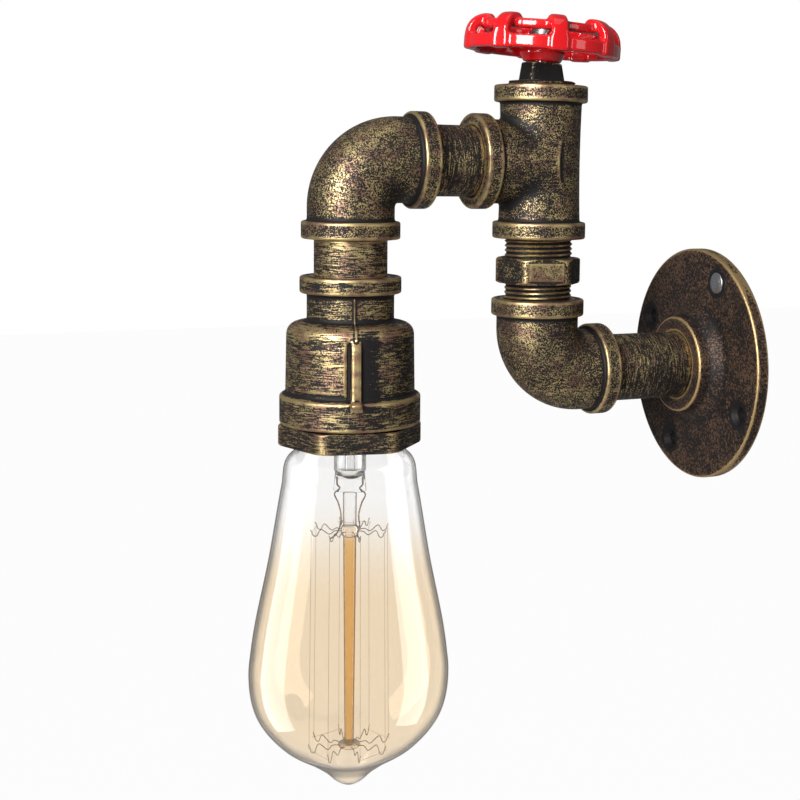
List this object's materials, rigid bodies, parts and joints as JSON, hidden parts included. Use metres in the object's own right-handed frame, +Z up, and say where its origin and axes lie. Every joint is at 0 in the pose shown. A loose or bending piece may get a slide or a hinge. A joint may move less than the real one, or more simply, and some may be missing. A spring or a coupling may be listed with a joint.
{
  "type": "pipe wall light",
  "caption": "Wall light made of threaded pipe and cast fittings, with a valve handwheel that turns and a hanging lamp bulb that screws out of its holder.",
  "frame": {"origin": "centre of the wall flange's back face, on the wall plane", "axes": "+Y points into the wall along the flange's axis, +Z up along the pipe column, +X across; the arm runs out along -Y"},
  "size_m": [0.0944, 0.1905, 0.2919],
  "materials": {
    "flange_bronze": "dark antique bronze, brushed, golden at the rim",
    "pipe_bronze": "dark antique bronze with turned streaks of gold",
    "casting_bronze": "dark antique bronze, speckled, golden on its edges",
    "nipple_bronze": "dark antique bronze with golden thread crests",
    "plug_black": "blackened cast iron",
    "steel": "zinc-plated steel",
    "ceramic": "glazed porcelain",
    "brass": "rolled brass",
    "live_sleeve": "silicone sleeve",
    "neutral_sleeve": "silicone sleeve",
    "earth_sleeve": "green insulation",
    "wheel_red": "glossy red enamel on cast iron",
    "solder": "dull solder",
    "amber_glass": "clear glass with an amber tint towards its tip",
    "cap_glass": "black glass",
    "clear_glass": "clear glass",
    "wire_steel": "bare nickel wire",
    "filament": "carbonised filament wire"
  },
  "bodies": {
    "root": {"wall_flange": "flange_bronze", "lower_nipple": "pipe_bronze", "lower_elbow": "casting_bronze", "hex_nipple": "nipple_bronze", "tee": "casting_bronze", "square_plug": "plug_black", "handwheel_screw": "steel", "handwheel_washer": "steel", "upper_nipple": "pipe_bronze", "upper_elbow": "casting_bronze", "drop_nipple": "pipe_bronze", "bell_reducer": "casting_bronze", "hex_bushing": "casting_bronze", "holder_body": "ceramic", "holder_shell": "brass", "holder_contact": "brass", "live_terminal": "brass", "neutral_terminal": "brass", "terminal_screws": "brass", "holder_plate": "steel", "plate_screws": "steel", "earth_lug": "brass", "earth_screw": "brass", "live_wire": "live_sleeve", "neutral_wire": "neutral_sleeve", "earth_wire": "earth_sleeve"},
    "wheel": {"handwheel": "wheel_red"},
    "bulb_tip": {"cap_contact": "solder"},
    "bulb": {"bulb_glass": "amber_glass", "bulb_cap": "brass", "cap_insulator": "cap_glass", "bulb_stem": "clear_glass", "bulb_rod": "clear_glass", "upper_hub": "clear_glass", "lower_hub": "clear_glass", "upper_hooks": "wire_steel", "lower_hooks": "wire_steel", "filament": "filament", "lead_wires": "wire_steel"}
  },
  "joints": [
    {"name": "handwheel_turn", "type": "hinge", "parent": "root", "child": "wheel", "pos_m": [0, -0.077, 0.1191], "axis": [0.0245, 0.0502, 0.9984], "continuous": true},
    {"name": "bulb_slide", "type": "slide", "parent": "root", "child": "bulb_tip", "axis": [0, 0, -1], "range_m": [0, 0.035]},
    {"name": "bulb_spin", "type": "hinge", "parent": "bulb_tip", "child": "bulb", "pos_m": [0, -0.1532, 0], "axis": [0, 0, -1], "range_deg": [0, 3475]}
  ],
  "couplings": [
    {"joint": "bulb_spin", "follows": "bulb_slide", "rad_per_m": 1731.4}
  ]
}
